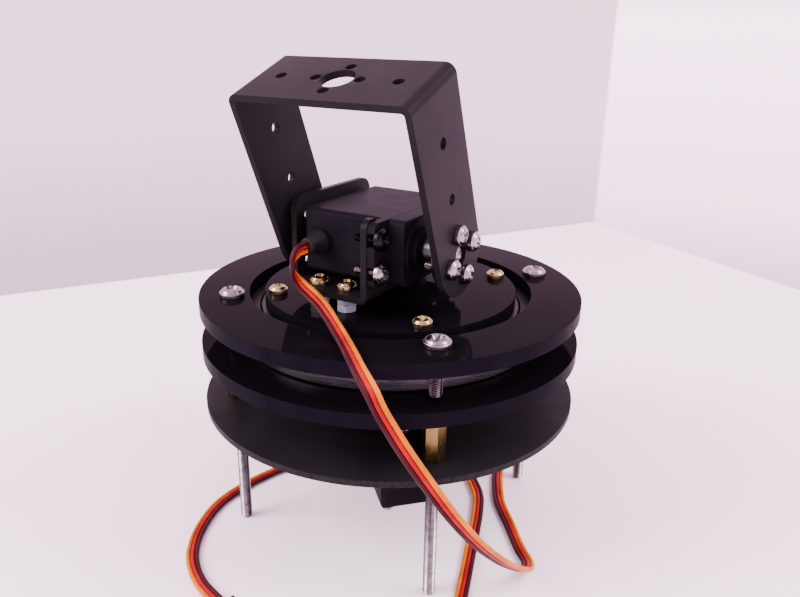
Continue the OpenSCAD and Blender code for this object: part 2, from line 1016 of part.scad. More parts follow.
function heading(points, k) =
    unit(points[min(k + 1, len(points) - 1)] - points[max(k - 1, 0)]);

// Flattened eight-sided outline of a lead, as [across, through] factors
lead_outline = [
    [0.5, 0.2], [0.35, 0.5], [-0.35, 0.5], [-0.5, 0.2],
    [-0.5, -0.2], [-0.35, -0.5], [0.35, -0.5], [0.5, -0.2]
];

function lead_ring(point, along, side) =
    let (across = unit(side - (side * along) * along), through = cross(along, across))
    [for (p = lead_outline) point + lead_w * p.x * across + lead_t * p.y * through];

module lead(route, start_along) {
    sides = len(lead_outline);
    points = fine(route, 0, 2);
    across = fine(route, 1, 2);
    rings = len(points);
    skin = [for (k = [0:rings - 1])
                each lead_ring(points[k], k == 0 ? start_along : heading(points, k), across[k])];
    sheath = [for (k = [0:rings - 2], s = [0:sides - 1])
                  let (a = k * sides + s, b = k * sides + (s + 1) % sides)
                  each [[a, b, b + sides], [a, b + sides, a + sides]]];
    near_end = [for (s = [sides - 1:-1:0]) s];
    far_end = [for (s = [0:sides - 1]) (rings - 1) * sides + s];
    polyhedron(points = skin, faces = concat(sheath, [near_end, far_end]), convexity = 10);
}

// Three-pin plug on the end of a lead, its back face on the last point of the route
module lead_plug(route) {
    last = len(route) - 1;
    from = route[last - 1][0];
    to = route[last][0];
    turn = atan2(to.y - from.y, to.x - from.x);
    color([0.06, 0.06, 0.06])
        translate([to.x, to.y, plug_t / 2])
            rotate([0, 0, turn])
                difference() {
                    translate([0, -plug_w / 2, -plug_t / 2])
                        cube([plug_l, plug_w, plug_t]);
                    for (y = [-2.54, 0, 2.54])
                        translate([plug_l - 6, y - 0.5, -0.5])
                            cube([7, 1, 1]);
                }
}

module tilt_lead() {
    color([0.85, 0.3, 0.12])
        lead(tilt_route, [0, -1, 0]);
}

module pan_lead() {
    color([0.85, 0.3, 0.12])
        lead(pan_route, [-0.7071, 0.7071, 0]);
}

top_ring();
middle_ring();
lower_plate();
leg_screws();
leg_standoffs();
leg_nuts();
bearing_outer_race();
bearing_seals();
bearing_inner_race();
bearing_cage();
bearing_balls();
place_pan_servo() servo_case();  // pan_servo_case
place_pan_servo() servo_base_cap();  // pan_servo_base_cap
place_pan_servo() servo_top_cap();  // pan_servo_top_cap
place_pan_servo() servo_case_screws();  // pan_servo_case_screws
place_pan_servo() servo_boot();  // pan_servo_boot
place_pan_servo() servo_motor();  // pan_servo_motor
place_pan_servo() servo_board();  // pan_servo_board
place_pan_servo() servo_shaft();  // pan_servo_shaft
pan_mount_screws();
pan_mount_nuts();
pan_lead();
lead_plug(pan_route);  // pan_plug
turntable_disc();
hub_plate();
horn_spacer();
disc_screws();
disc_nuts();
place_pan_servo() servo_horn();  // pan_horn
pan_horn_screws();
pan_horn_centre_screw();
servo_bracket();
bracket_screws();
bracket_spacer_nuts();
bracket_nuts();
place_tilt_servo() servo_case();  // tilt_servo_case
place_tilt_servo() servo_base_cap();  // tilt_servo_base_cap
place_tilt_servo() servo_top_cap();  // tilt_servo_top_cap
place_tilt_servo() servo_case_screws();  // tilt_servo_case_screws
place_tilt_servo() servo_boot();  // tilt_servo_boot
place_tilt_servo() servo_motor();  // tilt_servo_motor
place_tilt_servo() servo_board();  // tilt_servo_board
place_tilt_horn() servo_shaft();  // tilt_servo_shaft
ear_screws();
pivot_cup();
pivot_sleeve();
pivot_spacer();
pivot_screw();
pivot_nut();
u_bracket();
place_tilt_horn() servo_horn();  // tilt_horn
tilt_horn_screws();
tilt_horn_centre_screw();
tilt_lead();
lead_plug(tilt_route);  // tilt_plug
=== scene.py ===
import json
import math

import bmesh
import bpy
from mathutils import Matrix, Vector

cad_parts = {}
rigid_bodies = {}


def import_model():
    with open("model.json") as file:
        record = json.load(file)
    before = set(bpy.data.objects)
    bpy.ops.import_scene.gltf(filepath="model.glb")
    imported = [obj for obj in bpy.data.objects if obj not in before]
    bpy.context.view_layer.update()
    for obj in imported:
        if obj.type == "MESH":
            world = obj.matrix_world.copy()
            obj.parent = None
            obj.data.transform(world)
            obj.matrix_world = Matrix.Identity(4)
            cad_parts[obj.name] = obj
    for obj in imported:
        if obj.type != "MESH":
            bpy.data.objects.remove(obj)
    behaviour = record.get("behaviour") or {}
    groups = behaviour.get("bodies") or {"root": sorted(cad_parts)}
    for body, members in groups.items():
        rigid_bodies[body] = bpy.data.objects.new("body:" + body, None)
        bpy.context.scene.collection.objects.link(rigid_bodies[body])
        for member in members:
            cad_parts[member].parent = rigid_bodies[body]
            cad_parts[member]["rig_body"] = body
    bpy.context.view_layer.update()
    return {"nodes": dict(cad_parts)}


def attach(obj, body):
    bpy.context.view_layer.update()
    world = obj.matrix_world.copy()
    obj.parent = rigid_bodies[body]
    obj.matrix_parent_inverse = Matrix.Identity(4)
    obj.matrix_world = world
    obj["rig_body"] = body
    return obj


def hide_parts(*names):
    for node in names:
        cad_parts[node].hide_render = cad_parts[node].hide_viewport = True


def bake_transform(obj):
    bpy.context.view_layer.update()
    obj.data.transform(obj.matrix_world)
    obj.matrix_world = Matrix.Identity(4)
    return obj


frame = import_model()
nodes = frame["nodes"]
mm = 0.001

# Sizes and places shared with the CAD model, in millimetres

# Plates and legs
PLATE_T = 4.6
RING_TOP = 83.5
RING_BOTTOM = RING_TOP - PLATE_T
MIDDLE_BOTTOM = 64.3
LOWER_TOP = 48.3
LOWER_BOTTOM = 46.3
LEG_R = 52
STANDOFF_H = 16
DISC_SCREW_R = 37.4

# Servos: PAN_Z is where the pan servo's base stands, and the rest is measured from a servo's own
# base and output shaft
PAN_Z = 16.9
EAR_Z = 26.8
EAR_TOP = 29.4
EAR_X = 24.75
EAR_Y = 5
SERVO_MID = 10.2
CASE_SCREW_X = (-7.55, 27.95)
CASE_SCREW_Y = 7.3
BOOT_X = -10.15
BOOT_Z = 6
HORN_FACE = 46.2
HORN_R = 7
SPACER_T = 1.2

# U bracket, servo bracket and the tilt axis
TILT_Y = -15.3
TILT_Z = 103
LEAN = 22.5
U_LEFT = -24.5
U_RIGHT = 32.5
U_T = 2
TILT_X = U_RIGHT - U_T - HORN_FACE
WALL_X = TILT_X - 2.8
BRACKET_TOP = 90.3
BRACKET_SCREW_X = (-9, 1)
BRACKET_SCREW_DY = 22.5

# Fasteners
M2_D = 2
M2_PITCH = 0.4
M3_D = 2.9
M3_PITCH = 0.5
M3_NUT_H = 2.4
M4_D = 3.9
M4_PITCH = 0.7
M4_NUT_H = 3.2

# Where the room's walls meet, turned from the frame's y axis
WALL_CORNER = math.radians(14.9)


# ---------------------------------------------------------------- transforms

def move(x, y, z):
    return Matrix.Translation((x * mm, y * mm, z * mm))


def turn(axis, degrees):
    return Matrix.Rotation(math.radians(degrees), 4, axis)


CORNERS = [turn("Z", 45 + 90 * k) for k in range(4)]
PAN_SERVO = move(0, 0, PAN_Z) @ turn("Z", -45)
SERVO_ON_SIDE = turn("Z", 90) @ turn("X", 90)
TILT_SERVO = move(TILT_X, TILT_Y, TILT_Z) @ SERVO_ON_SIDE
TILT_FRAME = move(0, TILT_Y, TILT_Z) @ turn("X", LEAN)
TILT_HORN = TILT_FRAME @ move(TILT_X, 0, 0) @ SERVO_ON_SIDE
PIVOT = TILT_FRAME @ turn("Y", 90)
SERVOS = (("pan_servo", PAN_SERVO, "base"), ("tilt_servo", TILT_SERVO, "turntable"))
EAR_PLACES = [(SERVO_MID + i * EAR_X, j * EAR_Y) for i in (-1, 1) for j in (-1, 1)]
BRACKET_PLACES = [(x, TILT_Y + SERVO_MID + s * BRACKET_SCREW_DY) for x in BRACKET_SCREW_X for s in (-1, 1)]
CASE_PLACES = [(x, s * CASE_SCREW_Y) for x in CASE_SCREW_X for s in (-1, 1)]
HORN_PLACES = [turn("Z", 90 * k) @ move(HORN_R, 0, 0) for k in range(4)]


# ---------------------------------------------------------------- camera

def make_camera():
    azimuth, elevation, roll = math.radians(29.954), math.radians(20.09), math.radians(0.953)
    distance, height, aside = 245.86 * mm, 78.55 * mm, 3.16 * mm
    back = Vector((math.sin(azimuth) * math.cos(elevation),
                   -math.cos(azimuth) * math.cos(elevation), math.sin(elevation)))
    right = Vector((math.cos(azimuth), math.sin(azimuth), 0))
    up = back.cross(right)
    r = right * math.cos(roll) + up * math.sin(roll)
    u = up * math.cos(roll) - right * math.sin(roll)
    data = bpy.data.cameras.new("camera")
    data.lens = 32.73
    data.sensor_width = 36
    data.clip_start = 0.01
    camera = bpy.data.objects.new("camera", data)
    bpy.context.collection.objects.link(camera)
    spin = Matrix((r, u, back)).transposed().to_4x4()
    place = back * distance + Vector((0, 0, height)) + right * aside
    camera.matrix_world = Matrix.Translation(place) @ spin
    bpy.context.scene.camera = camera


make_camera()


# ---------------------------------------------------------------- materials

def rgba(colour):
    """A grey level or a colour, made opaque."""
    if not hasattr(colour, "__len__"):
        colour = (colour, colour, colour)
    return (*colour, 1)


def colour_ramp(tree, value, stops):
    n = tree.nodes.new("ShaderNodeValToRGB")
    while len(n.color_ramp.elements) < len(stops):
        n.color_ramp.elements.new(0.5)
    for e, (at, colour) in zip(n.color_ramp.elements, stops):
        e.position = at
        e.color = rgba(colour)
    tree.links.new(value, n.inputs["Fac"])
    return n.outputs["Color"]


class Shader:
    """A material being built: a few short calls for the nodes that every finish here uses."""

    def __init__(self, name, colour, rough, metal=0.0, **sockets):
        self.mat = bpy.data.materials.new(name)
        self.mat.use_nodes = True
        self.tree = self.mat.node_tree
        self.bsdf = self.tree.nodes["Principled BSDF"]
        self.set(self.bsdf, "Base Color", rgba(colour))
        self.set(self.bsdf, "Roughness", rough)
        self.set(self.bsdf, "Metallic", metal)
        for key, value in sockets.items():
            self.set(self.bsdf, key.replace("_", " "), value)
        self.coord = self.node("ShaderNodeTexCoord")
        self.height = None

    def node(self, kind, **values):
        n = self.tree.nodes.new(kind)
        for key, value in values.items():
            setattr(n, key, value)
        return n

    def set(self, n, socket, value):
        n.inputs[socket].default_value = value

    def link(self, a, b):
        self.tree.links.new(a, b)

    def mapped(self, stretch=(1, 1, 1)):
        m = self.node("ShaderNodeMapping")
        self.set(m, "Scale", stretch)
        self.link(self.coord.outputs["Object"], m.inputs["Vector"])
        return m.outputs["Vector"]

    def noise(self, scale, detail=3, stretch=(1, 1, 1)):
        n = self.node("ShaderNodeTexNoise")
        self.set(n, "Scale", scale)
        self.set(n, "Detail", detail)
        self.link(self.mapped(stretch), n.inputs["Vector"])
        return n.outputs["Fac"]

    def cells(self, scale):
        n = self.node("ShaderNodeTexVoronoi")
        self.set(n, "Scale", scale)
        self.link(self.mapped(), n.inputs["Vector"])
        return n.outputs["Distance"]

    def ramp(self, value, stops):
        return colour_ramp(self.tree, value, stops)

    def span(self, value, low, high):
        n = self.node("ShaderNodeMapRange")
        self.set(n, "To Min", low)
        self.set(n, "To Max", high)
        self.link(value, n.inputs["Value"])
        return n.outputs["Result"]

    def maths(self, operation, a, b=0.0):
        n = self.node("ShaderNodeMath", operation=operation)
        for k, v in enumerate((a, b)):
            if hasattr(v, "links"):
                self.link(v, n.inputs[k])
            else:
                n.inputs[k].default_value = v
        return n.outputs["Value"]

    def upright(self):
        """1 where the surface faces up or down in the part's own frame, 0 on its side walls."""
        parts = self.node("ShaderNodeSeparateXYZ")
        self.link(self.coord.outputs["Normal"], parts.inputs["Vector"])
        steep = self.maths("ABSOLUTE", parts.outputs["Z"])
        return self.ramp(steep, [(0.55, 0.0), (0.9, 1.0)])

    def mix(self, factor, a, b):
        n = self.node("ShaderNodeMix", data_type="RGBA")
        for key, v in (("Factor", factor), ("A", a), ("B", b)):
            socket = [i for i in n.inputs if i.name == key and i.enabled][0]
            if hasattr(v, "links"):
                self.link(v, socket)
            else:
                socket.default_value = rgba(v)
        return [o for o in n.outputs if o.name == "Result" and o.enabled][0]

    def base(self, colour):
        self.link(colour, self.bsdf.inputs["Base Color"])

    def rough(self, value):
        self.link(value, self.bsdf.inputs["Roughness"])

    def bump(self, value, depth, strength=1.0):
        n = self.node("ShaderNodeBump")
        self.set(n, "Distance", depth * mm)
        self.set(n, "Strength", strength)
        self.link(value, n.inputs["Height"])
        if self.height:
            self.link(self.height, n.inputs["Normal"])
        self.height = n.outputs["Normal"]
        self.link(self.height, self.bsdf.inputs["Normal"])


def gloss_acrylic():
    s = Shader("black_acrylic", (0.006, 0.005, 0.008), 0.05, Specular_IOR_Level=0.006)
    flat = s.upright()
    smear = s.noise(38, 4)
    dust = s.ramp(s.cells(900), [(0.0, 1.0), (0.055, 0.0)])
    few = s.ramp(s.noise(260, 1), [(0.56, 0.0), (0.62, 1.0)])
    specks = s.maths("MULTIPLY", dust, few)
    top = s.mix(specks, (0.003, 0.0025, 0.0035), (0.07, 0.065, 0.07))
    streaks = s.noise(70, 3, (1, 1, 0.2))
    side = s.ramp(streaks, [(0.3, (0.003, 0.0023, 0.0042)), (0.75, (0.006, 0.0048, 0.0085))])
    s.base(s.mix(flat, side, top))
    polish = s.span(smear, 0.03, 0.085)
    sawn = s.span(s.noise(1400, 2, (1, 1, 0.04)), 0.24, 0.5)
    s.rough(s.mix(flat, sawn, polish))
    cut = s.maths("MULTIPLY", s.noise(1500, 2, (1, 1, 0.03)), s.maths("SUBTRACT", 1.0, flat))
    s.bump(cut, 0.02, 0.6)
    s.bump(s.noise(22, 2), 0.02, 0.25)
    return s.mat


def matt_board():
    s = Shader("black_board", (0.014, 0.013, 0.016), 0.55, Specular_IOR_Level=0.07)
    flat = s.upright()
    grain = s.noise(1900, 4)
    edge = s.ramp(s.noise(900, 5), [(0.35, 0.004), (0.75, 0.014)])
    face = s.ramp(s.noise(60, 5), [(0.3, (0.005, 0.0045, 0.006)), (0.7, (0.009, 0.008, 0.010))])
    s.base(s.mix(flat, edge, face))
    s.rough(s.span(s.noise(140, 4), 0.42, 0.66))
    s.bump(grain, 0.03, 0.35)
    s.bump(s.maths("MULTIPLY", s.noise(700, 4), s.maths("SUBTRACT", 1.0, flat)), 0.18, 0.8)
    return s.mat


def anodised():
    s = Shader("black_anodised", (0.012, 0.010, 0.013), 0.4, Specular_IOR_Level=0.03)
    patch = s.noise(34, 5)
    s.base(s.ramp(patch, [(0.3, (0.0052, 0.0048, 0.0056)), (0.72, (0.009, 0.0083, 0.0095))]))
    s.rough(s.span(s.noise(90, 4), 0.30, 0.46))
    s.bump(s.noise(3600, 3), 0.012, 0.5)
    s.bump(s.cells(1500), 0.008, 0.25)
    return s.mat


def servo_plastic():
    s = Shader("servo_plastic", (0.013, 0.012, 0.016), 0.34, Specular_IOR_Level=0.005)
    s.base(s.ramp(s.noise(48, 5), [(0.3, (0.005, 0.004, 0.006)), (0.7, (0.009, 0.008, 0.011))]))
    s.rough(s.span(s.noise(120, 4), 0.24, 0.42))
    s.bump(s.cells(2600), 0.012, 0.35)
    s.bump(s.noise(1200, 3), 0.006, 0.4)
    return s.mat


def soft_black(name, value, rough, ribs=0.0):
    s = Shader(name, (value, value, value * 1.05), rough, Specular_IOR_Level=0.1)
    s.base(s.ramp(s.noise(150, 4), [(0.3, value * 0.7), (0.7, value * 1.5)]))
    s.rough(s.span(s.noise(260, 3), rough - 0.08, rough + 0.1))
    s.bump(s.noise(2200, 3), 0.02, 0.5)
    if ribs:
        s.bump(s.noise(90, 1, (ribs, ribs, 0.2)), 0.05, 0.4)
    return s.mat


def metal(name, dark, light, rough, streak=(1, 1, 1), depth=0.006, warm=None, pure=1.0, grain=420):
    s = Shader(name, light, rough, pure)
    stops = [(0.28, dark), (0.62, light)]
    if warm:
        stops.append((0.8, warm))
    s.base(s.ramp(s.noise(grain, 4, streak), stops))
    s.rough(s.span(s.noise(grain * 1.6, 3, streak), rough * 0.7, rough * 1.45))
    s.bump(s.noise(2600, 3, streak), depth, 0.4)
    return s.mat


def insulation(name, colour):
    s = Shader(name, colour, 0.4, Specular_IOR_Level=0.06)
    lighter = tuple(c * 1.25 for c in colour)
    darker = tuple(c * 0.72 for c in colour)
    s.base(s.ramp(s.noise(170, 4), [(0.3, darker), (0.68, lighter)]))
    s.rough(s.span(s.noise(420, 3), 0.28, 0.46))
    s.bump(s.noise(1500, 3), 0.015, 0.4)
    return s.mat


def board_green():
    s = Shader("board_green", (0.01, 0.09, 0.03), 0.35)
    s.base(s.ramp(s.cells(420), [(0.25, (0.008, 0.07, 0.025)), (0.32, (0.015, 0.13, 0.045))]))
    s.bump(s.cells(420), 0.03, 0.4)
    return s.mat


ACRYLIC = gloss_acrylic()
BOARD = matt_board()
ANODISED = anodised()
PLASTIC = servo_plastic()
RUBBER = soft_black("boot_rubber", 0.006, 0.5, ribs=3)
SEAL = soft_black("seal_rubber", 0.006, 0.45)
PLUG = soft_black("plug_plastic", 0.007, 0.4)
HORN = metal("horn_black", (0.03, 0.03, 0.034), (0.05, 0.048, 0.056), 0.3)
STEEL = metal("steel_plated", (0.14, 0.13, 0.14), (0.29, 0.275, 0.28), 0.2)
STUD = metal("steel_stud", (0.13, 0.125, 0.13), (0.25, 0.24, 0.24), 0.22)
NUT = metal("steel_nut", (0.26, 0.33, 0.36), (0.46, 0.56, 0.62), 0.34, pure=0.5)
RACE = metal("race_steel", (0.27, 0.26, 0.29), (0.31, 0.30, 0.335), 0.24, (1, 1, 14), 0.0004, grain=24)
RACE_INNER = metal("race_shadowed", (0.010, 0.010, 0.012), (0.02, 0.02, 0.023), 0.4, (1, 1, 14), 0.003)
ZINC = metal("yellow_zinc", (0.20, 0.155, 0.055), (0.40, 0.37, 0.17), 0.2, warm=(0.44, 0.35, 0.20))
# Near black metal for the one ear screw that is drawn dark
DARK_SCREW_METAL = metal("dark_screw_metal", (0.006, 0.006, 0.007), (0.014, 0.014, 0.016), 0.3)
BRASS = metal("brass", (0.13, 0.085, 0.028), (0.19, 0.13, 0.045), 0.24, (6, 6, 1), 0.002, grain=90)
SHAFT = metal("shaft_brass", (0.40, 0.32, 0.16), (0.66, 0.55, 0.32), 0.25)
CAN = metal("motor_can", (0.40, 0.40, 0.41), (0.60, 0.60, 0.62), 0.28, (1, 1, 10))
GREEN = board_green()
ORANGE = insulation("wire_orange", (0.44, 0.115, 0.0))
RED = insulation("wire_red", (0.28, 0.002, 0.006))
BROWN = insulation("wire_brown", (0.034, 0.007, 0.009))


# ---------------------------------------------------------------- mesh helpers

def finish_mesh(mesh, sharp=38):
    for p in mesh.polygons:
        p.use_smooth = True
    mesh.set_sharp_from_angle(angle=math.radians(sharp))
    return mesh


def make_object(name, mesh, materials):
    obj = bpy.data.objects.new(name, mesh)
    bpy.context.collection.objects.link(obj)
    for m in materials:
        mesh.materials.append(m)
    return obj


def piece(name, mesh, material, body, node, weigh=False):
    """A detailed piece that stands for a CAD node and rides on that node's body."""
    obj = make_object(name, mesh, [material])
    if weigh:
        w = obj.modifiers.new("weighted", "WEIGHTED_NORMAL")
        w.keep_sharp = True
    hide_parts(node)
    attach(obj, body)
    return obj


def copies(mesh, places, name):
    """One mesh holding a copy of mesh at each place."""
    bm = bmesh.new()
    for place in places:
        part = mesh.copy()
        part.transform(place)
        bm.from_mesh(part)
        bpy.data.meshes.remove(part)
    out = bpy.data.meshes.new(name)
    bm.to_mesh(out)
    bm.free()
    return finish_mesh(out)


def loft(name, rings, around=False):
    """Joins equal rings of points, in millimetres, into a closed skin, capped or joined end to end."""
    bm = bmesh.new()
    rows = [[bm.verts.new(Vector(p) * mm) for p in ring] for ring in rings]
    pairs = list(zip(rows, rows[1:])) + ([(rows[-1], rows[0])] if around else [])
    for a, b in pairs:
        n = len(a)
        for k in range(n):
            bm.faces.new((a[k], a[(k + 1) % n], b[(k + 1) % n], b[k]))
    if not around:
        bm.faces.new(list(reversed(rows[0])))
        bm.faces.new(rows[-1])
    bmesh.ops.recalc_face_normals(bm, faces=bm.faces)
    mesh = bpy.data.meshes.new(name)
    bm.to_mesh(mesh)
    bm.free()
    return mesh


def circle(r, z, count):
    step = 2 * math.pi / count
    return [(r * math.cos(k * step), r * math.sin(k * step), z) for k in range(count)]


def threaded_shank(d, pitch, length, start=0.0):
    """A screw's shank from z = 0 down, with a helical thread below start."""
    sides, per_pitch, sunk = 20, 5, 0.2
    crest, root = d / 2, d / 2 - 0.52 * pitch
    rings = []
    rows = round((length - start) / pitch * per_pitch)
    if start > 0:
        rings.append(circle(crest, sunk, sides))
    for i in range(rows + 1):
        z = start + i * pitch / per_pitch
        left = length - z
        ring = []
        for k in range(sides):
            phase = (z / pitch + k / sides) % 1
            wave = min(1, max(0, 1.35 * (1 - abs(2 * phase - 1)) - 0.12))
            r = root + (crest - root) * wave
            r = min(r, root * 0.82 + max(left, 0) * 0.8)
            a = 2 * math.pi * k / sides
            ring.append((r * math.cos(a), r * math.sin(a), -min(z, length)))
        rings.append(ring)
    if start == 0:
        rings.insert(0, circle(root, sunk, sides))
    return loft("shank", rings)


def joined(name, meshes):
    bm = bmesh.new()
    for m in meshes:
        bm.from_mesh(m)
    out = bpy.data.meshes.new(name)
    bm.to_mesh(out)
    bm.free()
    return out


def pan_head(d, h):
    """A pan head standing on z = 0, with a cross recess."""
    sides = 48
    dome = d * 0.78
    shoulder = h - dome + math.sqrt(dome * dome - d * d / 4)
    soft = d * 0.06
    rings = [circle(d / 2 - 0.12, 0, sides), circle(d / 2, 0.14, sides),
             circle(d / 2, shoulder - soft, sides)]
    for k in range(1, 5):
        a = math.radians(22.5 * k)
        rings.append(circle(d / 2 - soft * (1 - math.cos(a)), shoulder - soft + soft * math.sin(a), sides))
    for k in range(1, 10):
        r = (d / 2 - soft) * (1 - k / 10)
        rings.append(circle(r, h - dome + math.sqrt(dome * dome - r * r), sides))
    head = make_object("head", loft("head", rings), [])
    arm, half, deep = d * 0.26, d * 0.085, h * 0.6
    outline = [(arm, half), (half * 1.5, half * 1.5), (half, arm)]
    cross = []
    for k in range(4):
        a = math.pi / 2 * k
        c, s = math.cos(a), math.sin(a)
        cross += [(x * c - y * s, x * s + y * c) for x, y in outline]
    levels = [(h + 0.6, 1.12), (h - deep * 0.35, 0.9), (h - deep, 0.42)]
    rings = [[(x * f, y * f, z) for x, y in cross] for z, f in levels]
    cutter = make_object("cutter", loft("cutter", rings), [])
    cut = head.modifiers.new("recess", "BOOLEAN")
    cut.operation = "DIFFERENCE"
    cut.solver = "EXACT"
    cut.object = cutter
    bpy.context.view_layer.update()
    done = bpy.data.meshes.new_from_object(head.evaluated_get(bpy.context.evaluated_depsgraph_get()))
    for o in (head, cutter):
        bpy.data.objects.remove(o)
    return done


def nut_mesh(af, h, bore):
    """A hexagon nut standing on z = 0, chamfered at its corners and in its bore."""
    chamfer, count = 0.3, 48

    def hexagon(upper):
        ring = []
        for k in range(count):
            a = 2 * math.pi * k / count
            off = (a + math.pi / 6) % (math.pi / 3) - math.pi / 6
            r = af / 2 / math.cos(off)
            drop = max(0, r - af / 2 * 0.97) * math.tan(math.radians(30))
            z = h - drop if upper else drop
            ring.append((r * math.cos(a), r * math.sin(a), z))
        return ring

    land = af / 2 * 0.965
    mouth = bore / 2 + chamfer
    rings = [circle(bore / 2, chamfer, count), circle(mouth, 0, count), circle(land, 0, count),
             hexagon(False), hexagon(True),
             circle(land, h, count), circle(mouth, h, count), circle(bore / 2, h - chamfer, count)]
    return loft("nut", rings, around=True)


def boot_mesh():
    """A cord boot standing on z = 0: a rounded collar that draws in to the flat cord."""
    profile = [(4.0, 0.02), (4.08, 0.4), (4.08, 1.5), (3.9, 2.1), (3.5, 2.9), (3.1, 3.9), (2.8, 5.2),
               (2.65, 6.4), (2.5, 7.1), (2.15, 7.45), (1.3, 7.5)]
    root = [[(x, y, z) for x, y in ((-1.45, -2.75), (1.45, -2.75), (1.45, 2.75), (-1.45, 2.75))]
            for z in (-1.45, 0.3)]
    body = loft("boot", [circle(r, z, 48) for r, z in profile])
    return finish_mesh(joined("boot", [body, loft("root", root)]), 60)


def dressed(node, material, bevel, angle=35, segments=2):
    """A copy of a CAD node's shape with its sharp edges softened, standing for that node."""
    bm = bmesh.new()
    bm.from_mesh(nodes[node].data)
    bmesh.ops.remove_doubles(bm, verts=bm.verts, dist=2e-6)
    bmesh.ops.dissolve_limit(bm, angle_limit=math.radians(0.6), verts=bm.verts, edges=bm.edges)
    bm.normal_update()
    limit = math.radians(angle)
    sharp = [e for e in bm.edges if len(e.link_faces) == 2 and e.calc_face_angle(0) > limit]
    bmesh.ops.bevel(bm, geom=sharp, offset=bevel * mm, segments=segments, profile=0.6,
                    affect="EDGES", clamp_overlap=True)
    bmesh.ops.triangulate(bm, faces=[f for f in bm.faces if len(f.verts) > 4])
    mesh = bpy.data.meshes.new(node + "_skin")
    bm.to_mesh(mesh)
    bm.free()
    finish_mesh(mesh, 32)
    return piece(node + "_piece", mesh, material, nodes[node]["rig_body"], node, weigh=True)


# ---------------------------------------------------------------- leads

# Each point of a route, in millimetres, and the way across the flat lead there
TILT_ROUTE = [
    ((-9.7, -32.95, 103), (0, 0, -1)), ((-10.3, -35.4, 102.5), (-0.2, 0.3, -1)),
    ((-11, -37.3, 100.5), (-0.4, 0.7, -0.7)), ((-11, -38.2, 97.6), (-0.65, 0.75, -0.3)),
    ((-9.6, -38.5, 94.9), (-0.1, 0.95, 0)), ((-6.8, -38.8, 92.7), (0.5, 0.75, 0.2)),
    ((-2.8, -39.5, 90.9), (0.7, 0.6, 0.3)), ((1.8, -41, 88.9), (0.7, 0.7, 0.2)),
    ((7, -43.7, 86.4), (0.7, 0.9, 0)),
    ((14, -49, 84.9), (0.7, 0.8, 0)), ((20.9, -55.4, 84.7), (0.7, 0.7, 0)),
    ((26.6, -60.3, 83.6), (0.8, 0.7, 0)), ((31.6, -62.4, 79.6), (0.9, 0.5, 0)),
    ((35, -62.4, 74), (0.9, 0.4, 0)), ((41, -61.4, 65), (0.9, 0.5, 0)),
    ((47, -58.6, 55), (0.9, 0.5, 0)), ((52, -53.6, 44), (0.9, 0.5, 0)),
    ((55.8, -45, 31.5), (0.9, 0.5, 0)), ((58.6, -33.6, 19), (0.9, 0.5, 0)),
    ((60.2, -23, 9.5), (0.9, 0.5, 0)), ((60.4, -15.4, 4), (0.9, 0.5, 0)),
    ((58.8, -9.6, 1.6), (0.9, 0.5, 0)), ((53.8, -3.9, 1), (0.8, 0.6, 0)),
    ((46.6, 5.4, 1), (0.8, 0.6, 0)), ((38, 16.4, 1), (0.8, 0.6, 0)),
    ((32.6, 27, 1), (0.8, 0.5, 0)), ((30.2, 33, 1), (1, 0.2, 0)),
    ((28, 37, 1), (0.8, 0.8, 0)), ((24, 38.6, 1), (0, 1, 0)),
    ((20, 36.8, 1), (-0.8, 0.7, 0)), ((18.6, 32.6, 1), (-1, 0, 0)),
    ((20, 28, 1), (-1, -0.5, 0)), ((28.6, 17.4, 1), (-0.9, -0.5, 0)),
    ((33.2, 7.3, 1), (-1, -0.4, 0)), ((37.4, -5.2, 1), (-1, -0.4, 0)),
    ((41.9, -19.1, 1), (-1, -0.4, 0)), ((45.9, -31.7, 1), (-1, -0.4, 0)),
    ((49.4, -43.2, 1), (-1, -0.4, 0)),
]
PAN_ROUTE = [
    ((-12.48, 12.48, 22.9), (0.7, 0.7, 0)), ((-16.2, 16.8, 21.9), (0.7, 0.7, 0)),
    ((-19.4, 21.6, 18.8), (0.9, 0.4, 0)), ((-20.8, 28.4, 13.4), (1, 0, 0)),
    ((-18.6, 36, 8), (0.9, -0.4, 0)), ((-12, 43.4, 3.8), (0.7, -0.7, 0)),
    ((-3, 48.6, 1.4), (0.4, -0.9, 0)), ((6, 52.4, 1), (0.3, -1, 0)),
    ((13.4, 54.2, 1), (0.1, -1, 0)), ((20, 54.4, 1), (-0.2, -1, 0)),
    ((24, 52.6, 1), (-0.7, -0.7, 0)), ((25.6, 48.8, 1), (-1, 0, 0)),
    ((24, 45, 1), (-0.7, 0.7, 0)), ((20, 43.4, 1), (0, 1, 0)),
    ((9, 43.4, 1), (0, 1, 0)), ((-2, 43.2, 1), (0, 1, 0)),
    ((-6.1, 41.5, 1), (-0.7, 0.7, 0)), ((-7.8, 37.4, 1), (-1, 0, 0)),
    ((-6.1, 33.3, 1), (-0.7, -0.7, 0)), ((-2, 31.6, 1), (0, -1, 0)),
    ((5, 31.6, 1), (0, -1, 0)), ((9.1, 29.9, 1), (0.7, -0.7, 0)),
    ((10.8, 25.8, 1), (1, 0, 0)), ((9.1, 21.7, 1), (0.7, 0.7, 0)),
    ((5, 20, 1), (0, 1, 0)), ((-8, 20.6, 1), (0, 1, 0)),
    ((-20, 20.6, 1), (-0.2, 1, 0)), ((-30.6, 16, 1), (-0.6, 0.8, 0)),
    ((-38.6, 5, 1), (-0.9, 0.5, 0)), ((-45, -10.6, 1), (-1, 0.2, 0)),
    ((-48.4, -24, 1), (-1, 0.2, 0)), ((-49, -38, 1), (-1, 0, 0)),
    ((-44.4, -52, 1), (-0.9, -0.4, 0)), ((-36.4, -63.6, 1), (-0.8, -0.6, 0)),
    ((-25.4, -71, 1), (-0.5, -0.9, 0)), ((-13, -74.6, 1), (-0.3, -1, 0)),
]


